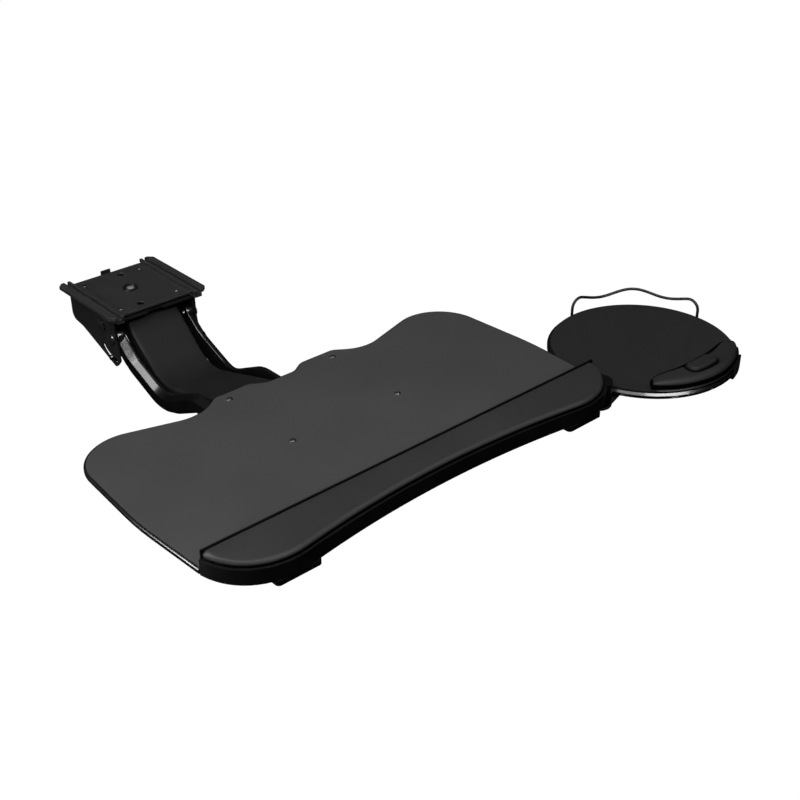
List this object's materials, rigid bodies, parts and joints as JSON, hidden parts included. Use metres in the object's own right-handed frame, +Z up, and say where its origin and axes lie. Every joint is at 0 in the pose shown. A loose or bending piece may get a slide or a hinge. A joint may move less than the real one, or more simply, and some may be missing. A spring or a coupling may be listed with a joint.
{
  "type": "keyboard tray",
  "caption": "Under-desk keyboard tray on a height and tilt adjustable swivel arm with glides, a palm rest and a swing-out round mouse platform",
  "frame": {"origin": "on the swivel axis, level with the glides' top faces", "axes": "+Z up, +Y along the track away from the user, +X to the user's right"},
  "size_m": [0.7273, 0.6499, 0.112],
  "materials": {
    "plate_steel": "satin dark powder coat",
    "dark_steel": "satin black powder coat",
    "bar_steel": "gloss black coat",
    "glide_plastic": "satin moulded plastic",
    "bearing_plastic": "plain low-friction plastic",
    "bright_steel": "plain zinc plated",
    "pin_steel": "dark plated steel",
    "spring_steel": "oiled spring wire",
    "board_laminate": "fine textured matte board",
    "screw_black": "black oxide",
    "black_plastic": "satin black moulding",
    "pad_skin": "fine grained soft skin",
    "platform_plastic": "semi gloss black moulding",
    "surface_cloth": "close matte cloth",
    "fence_wire": "gloss black coated wire"
  },
  "bodies": {
    "glide_carriage": {"glide_plate": "plate_steel", "left_glide": "glide_plastic", "right_glide": "glide_plastic", "glide_rivets": "bright_steel", "rear_stop": "dark_steel", "swivel_stud": "dark_steel", "stud_washer": "bright_steel", "stud_nut": "bright_steel"},
    "swivel": {"swivel_bearing": "bearing_plastic", "swivel_plate": "dark_steel", "left_cheek": "dark_steel", "right_cheek": "dark_steel", "cheek_rivets": "bright_steel", "arm_pivot_pin": "pin_steel", "rear_bar_pins": "pin_steel", "left_lift_spring": "spring_steel", "right_lift_spring": "spring_steel"},
    "arm": {"arm_channel": "dark_steel"},
    "side_bars": {"left_side_bar": "bar_steel", "right_side_bar": "bar_steel", "left_bar_knuckle": "bar_steel", "right_bar_knuckle": "bar_steel", "stop_rod": "pin_steel"},
    "head": {"tilt_head": "dark_steel", "front_arm_pin": "pin_steel", "front_bar_pins": "pin_steel"},
    "tray": {"board_bracket": "dark_steel", "tilt_nut": "pin_steel", "board": "board_laminate", "board_screws": "screw_black", "board_nuts": "bright_steel", "palm_base": "black_plastic", "palm_pad": "pad_skin", "palm_clips": "black_plastic", "clip_screws": "screw_black", "mouse_clip": "black_plastic", "mouse_clip_screws": "screw_black"},
    "tilt_clamp": {"tilt_bolt": "pin_steel", "tilt_knob": "black_plastic"},
    "mouse_side": {"mouse_arm": "dark_steel", "mouse_pivot_bolt": "pin_steel", "mouse_platform": "platform_plastic", "hub_screws": "screw_black", "mouse_surface": "surface_cloth", "mouse_fence": "fence_wire"},
    "mouse_palm": {"mouse_palm_clip": "black_plastic", "mouse_palm_pad": "pad_skin"}
  },
  "joints": [
    {"name": "swivel_turn", "type": "hinge", "parent": "glide_carriage", "child": "swivel", "pos_m": [0, 0, 0], "axis": [0, 0, 1], "continuous": true},
    {"name": "arm_lift", "type": "hinge", "parent": "swivel", "child": "arm", "pos_m": [0, -0.026, -0.024], "axis": [-1, 0, 0], "range_deg": [-35, 15], "deforming": ["left_lift_spring", "right_lift_spring"]},
    {"name": "bar_follow", "type": "hinge", "parent": "swivel", "child": "side_bars", "pos_m": [0, -0.044, -0.036], "axis": [-1, 0, 0], "range_deg": [-35, 15]},
    {"name": "head_level", "type": "hinge", "parent": "arm", "child": "head", "pos_m": [0, -0.26, -0.044], "axis": [-1, 0, 0], "range_deg": [-15, 35]},
    {"name": "tray_tilt", "type": "hinge", "parent": "head", "child": "tray", "pos_m": [0, -0.323, -0.034], "axis": [-1, 0, 0], "range_deg": [-15, 15]},
    {"name": "tilt_knob_turn", "type": "hinge", "parent": "tray", "child": "tilt_clamp", "pos_m": [0, -0.323, -0.034], "axis": [1, 0, 0], "range_deg": [0, 270]},
    {"name": "mouse_swing", "type": "hinge", "parent": "tray", "child": "mouse_side", "pos_m": [0.2505, -0.5195, -0.0064], "axis": [0, 0, 1], "range_deg": [-60, 30]},
    {"name": "mouse_palm_slide", "type": "hinge", "parent": "mouse_side", "child": "mouse_palm", "pos_m": [0.36891, -0.48442, -0.02], "axis": [0, 0, 1], "range_deg": [-30, 40]}
  ],
  "couplings": [
    {"joint": "bar_follow", "follows": "arm_lift", "ratio": 1},
    {"joint": "head_level", "follows": "arm_lift", "ratio": -1}
  ]
}
